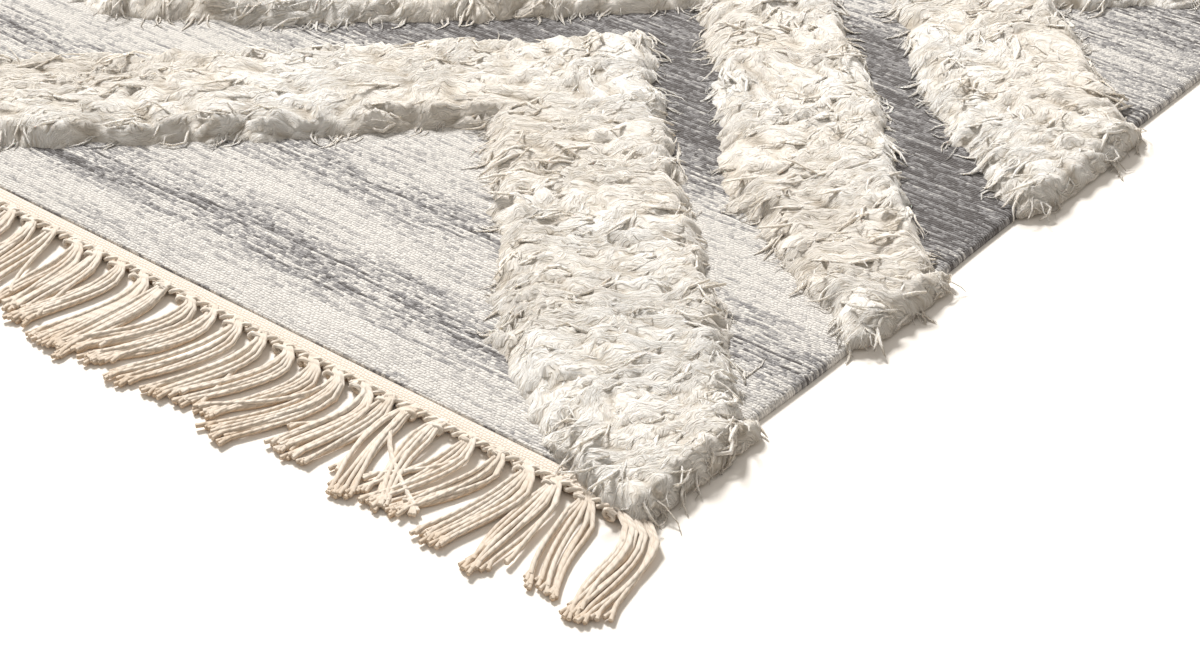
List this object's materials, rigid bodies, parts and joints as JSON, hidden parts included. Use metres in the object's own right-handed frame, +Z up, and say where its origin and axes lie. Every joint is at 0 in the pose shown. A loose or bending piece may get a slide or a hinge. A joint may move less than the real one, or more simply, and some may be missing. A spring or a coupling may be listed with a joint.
{
  "type": "wool rug",
  "caption": "Flat rectangular wool rug with raised shaggy zigzag and diamond bands on a striped flatwoven ground, and a knotted cotton fringe at both ends.",
  "frame": {"origin": "middle of the rug's underside, on the floor it lies on", "axes": "+X across the rug from selvage to selvage, +Y along the warp from the front fringe to the back fringe, +Z up out of the pile"},
  "size_m": [1.2392, 1.952, 0.0266],
  "materials": {
    "pile_wool": "thick ivory wool yarn, matt, a little darker and warmer between the strands",
    "ground_wool": "weft-faced wool weave, cream flecked with grey, in bands from cream to charcoal",
    "fringe_cotton": "plied unbleached cotton cord, matt"
  },
  "bodies": {
    "root": {"wool_cloth": "pile_wool", "fringe_front": "fringe_cotton", "fringe_back": "fringe_cotton"}
  },
  "joints": []
}
